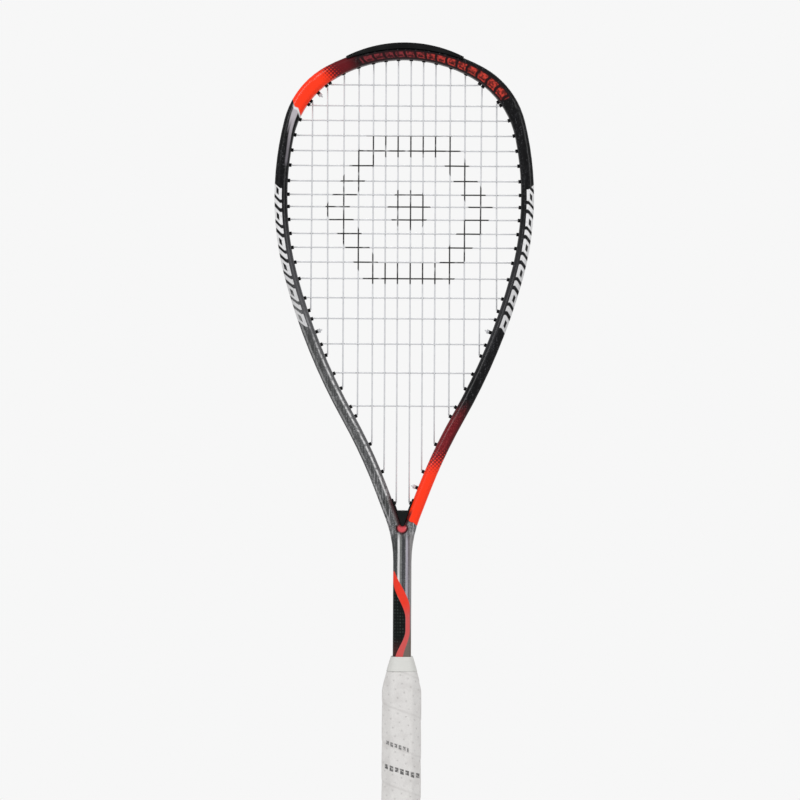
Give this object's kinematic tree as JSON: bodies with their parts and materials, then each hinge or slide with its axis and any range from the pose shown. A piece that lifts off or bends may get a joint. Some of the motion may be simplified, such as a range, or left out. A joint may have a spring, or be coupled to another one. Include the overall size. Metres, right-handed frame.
{
  "type": "squash racket",
  "caption": "Squash racket with a teardrop head, open throat, woven strings, slim shaft and an eight-sided wrapped handle.",
  "frame": {"origin": "centre of the butt's flat end face", "axes": "+Z along the racket from the butt to the tip, +X across the head to the right, +Y away from the viewer through the strings"},
  "size_m": [0.2126, 0.0306, 0.686],
  "materials": {
    "carbon_frame": "glossy lacquered carbon, painted black and grey with red-orange blocks",
    "grommet_plastic": "matt black nylon",
    "string": "silvery white nylon multifilament",
    "handle_foam": "rigid polyurethane foam",
    "butt_plastic": "moulded black plastic",
    "staple_steel": "galvanised wire",
    "grip_tape": "off-white perforated polyurethane wrap",
    "finishing_tape": "pale grey elastic tape",
    "plug_foam": "black closed-cell foam"
  },
  "bodies": {
    "root": {"frame": "carbon_frame", "bumper_guard": "grommet_plastic", "left_grommet_strip": "grommet_plastic", "right_grommet_strip": "grommet_plastic", "throat_grommet": "grommet_plastic", "main_string": "string", "cross_string": "string", "string_knots": "string", "left_pallet": "handle_foam", "right_pallet": "handle_foam", "butt_cap": "butt_plastic", "butt_cap_staples": "staple_steel", "grip": "grip_tape", "grip_staple": "staple_steel", "finishing_tape": "finishing_tape", "left_tube_plug": "plug_foam", "right_tube_plug": "plug_foam"}
  },
  "joints": []
}
